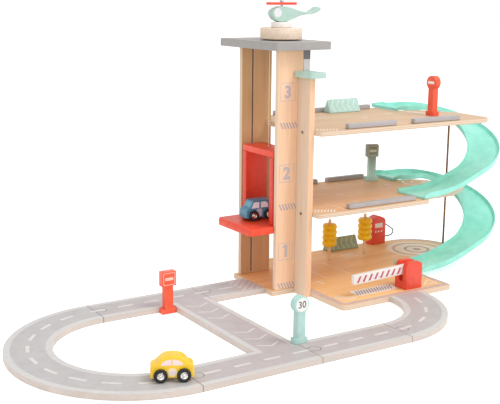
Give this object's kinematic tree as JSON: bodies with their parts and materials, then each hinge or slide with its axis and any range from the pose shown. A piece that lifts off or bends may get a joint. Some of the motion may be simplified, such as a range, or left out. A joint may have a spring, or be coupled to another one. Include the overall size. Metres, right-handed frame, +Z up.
{
  "type": "toy parking garage with lift",
  "caption": "Wooden toy parking garage: lift tower, stacked floors, spiral chutes, road loop, barrier, pump, signs, trees, toy cars and a helicopter on the lift's winding knob.",
  "frame": {"origin": "middle of the lift tower's footprint, on the ground under the base board", "axes": "+X along the decks from the tower towards the spiral chutes, +Y towards the back, +Z up"},
  "size_m": [0.9052, 0.4178, 0.4308],
  "materials": {
    "wood": "clear satin lacquer",
    "pale_paint": "satin paint",
    "roof_paint": "satin paint",
    "mint_plastic": "smooth moulded",
    "mint_paint": "satin paint",
    "red_paint": "satin paint",
    "road_paint": "matt print",
    "cord": "twisted cotton",
    "steel": "satin",
    "white_paint": "satin paint",
    "yellow_paint": "satin paint",
    "blue_paint": "satin paint",
    "crown_paint": "satin paint",
    "grey_green_paint": "satin paint",
    "wheel_plastic": "smooth black with a bright hub",
    "hose_rubber": "matt"
  },
  "bodies": {
    "garage": {"base_board": "wood", "front_wall": "wood", "back_wall": "wood", "corner_post": "wood", "post_cap": "mint_paint", "corner_batten": "pale_paint", "post_screw_2": "steel", "post_screw_3": "steel", "roof_plate": "roof_paint", "level_2_floor": "wood", "level_3_floor": "wood", "support_rod": "steel", "upper_chute": "mint_plastic", "lower_chute": "mint_plastic", "lift_cord": "cord", "track_u_turn": "road_paint", "track_crossing": "road_paint", "track_tower_straight": "road_paint", "track_front_straight": "road_paint", "track_curve": "road_paint", "stop_sign": "red_paint", "parking_sign": "grey_green_paint", "no_entry_sign": "red_paint", "speed_sign": "mint_paint", "tree_trunk_1": "wood", "tree_crown_1": "crown_paint", "tree_trunk_2": "wood", "tree_crown_2": "crown_paint", "upper_hedge": "mint_paint", "lower_hedge": "grey_green_paint", "pump_body": "red_paint", "pump_hose": "hose_rubber", "gate_post": "red_paint", "gate_pin": "wood", "parapet_level_3_front_left": "pale_paint", "parapet_level_3_front_right": "pale_paint", "parapet_level_3_back": "pale_paint", "parapet_level_2_front": "pale_paint", "parapet_level_2_back_left": "pale_paint", "parapet_level_2_back_right": "pale_paint"},
    "lift": {"lift_floor": "red_paint", "lift_front_side": "red_paint", "lift_back_side": "red_paint", "lift_top": "red_paint", "lift_guide_peg": "steel"},
    "knob": {"helipad_knob": "wood", "knob_axle": "wood", "cord_winding": "cord", "helicopter_stand": "white_paint", "helicopter_body": "mint_paint", "rotor_pin": "steel"},
    "rotor": {"rotor_blade": "red_paint"},
    "gate_arm": {"gate_arm": "white_paint"},
    "yellow_car": {"yellow_car_body": "yellow_paint"},
    "yellow_front_wheels": {"yellow_car_front_wheels": "wheel_plastic"},
    "yellow_rear_wheels": {"yellow_car_rear_wheels": "wheel_plastic"},
    "blue_car": {"blue_car_body": "blue_paint"},
    "blue_front_wheels": {"blue_car_front_wheels": "wheel_plastic"},
    "blue_rear_wheels": {"blue_car_rear_wheels": "wheel_plastic"}
  },
  "joints": [
    {"name": "lift_slide", "type": "slide", "parent": "garage", "child": "lift", "axis": [0, 0, 1], "range_m": [-0.0864, 0.143], "deforming": ["lift_cord"]},
    {"name": "knob_turn", "type": "hinge", "parent": "garage", "child": "knob", "pos_m": [0.01535, -0.00335, 0.373], "axis": [0, 0, 1], "range_deg": [-480, 292]},
    {"name": "rotor_spin", "type": "hinge", "parent": "knob", "child": "rotor", "pos_m": [0.01535, -0.00335, 0.4255], "axis": [0, 0, 1], "continuous": true},
    {"name": "gate_swing", "type": "hinge", "parent": "garage", "child": "gate_arm", "pos_m": [0.163, -0.13785, 0.0379], "axis": [0, 1, 0], "range_deg": [0, 85]},
    {"name": "yellow_roll", "type": "slide", "parent": "garage", "child": "yellow_car", "axis": [0.9063, -0.4226, 0], "range_m": [-0.1, 0.045]},
    {"name": "yellow_front_wheels_roll", "type": "hinge", "parent": "yellow_car", "child": "yellow_front_wheels", "pos_m": [-0.32164, -0.2653, 0.0164], "axis": [0.4226, 0.9063, 0], "continuous": true},
    {"name": "yellow_rear_wheels_roll", "type": "hinge", "parent": "yellow_car", "child": "yellow_rear_wheels", "pos_m": [-0.29753, -0.27654, 0.0164], "axis": [0.4226, 0.9063, 0], "continuous": true},
    {"name": "blue_roll", "type": "slide", "parent": "lift", "child": "blue_car", "axis": [1, 0, 0], "range_m": [-0.018, 0.006]},
    {"name": "blue_front_wheels_roll", "type": "hinge", "parent": "blue_car", "child": "blue_front_wheels", "pos_m": [-0.02915, 0.00815, 0.1134], "axis": [0, 1, 0], "continuous": true},
    {"name": "blue_rear_wheels_roll", "type": "hinge", "parent": "blue_car", "child": "blue_rear_wheels", "pos_m": [-0.00255, 0.00815, 0.1134], "axis": [0, 1, 0], "continuous": true}
  ],
  "couplings": [
    {"joint": "knob_turn", "follows": "lift_slide", "rad_per_m": -58.14}
  ]
}
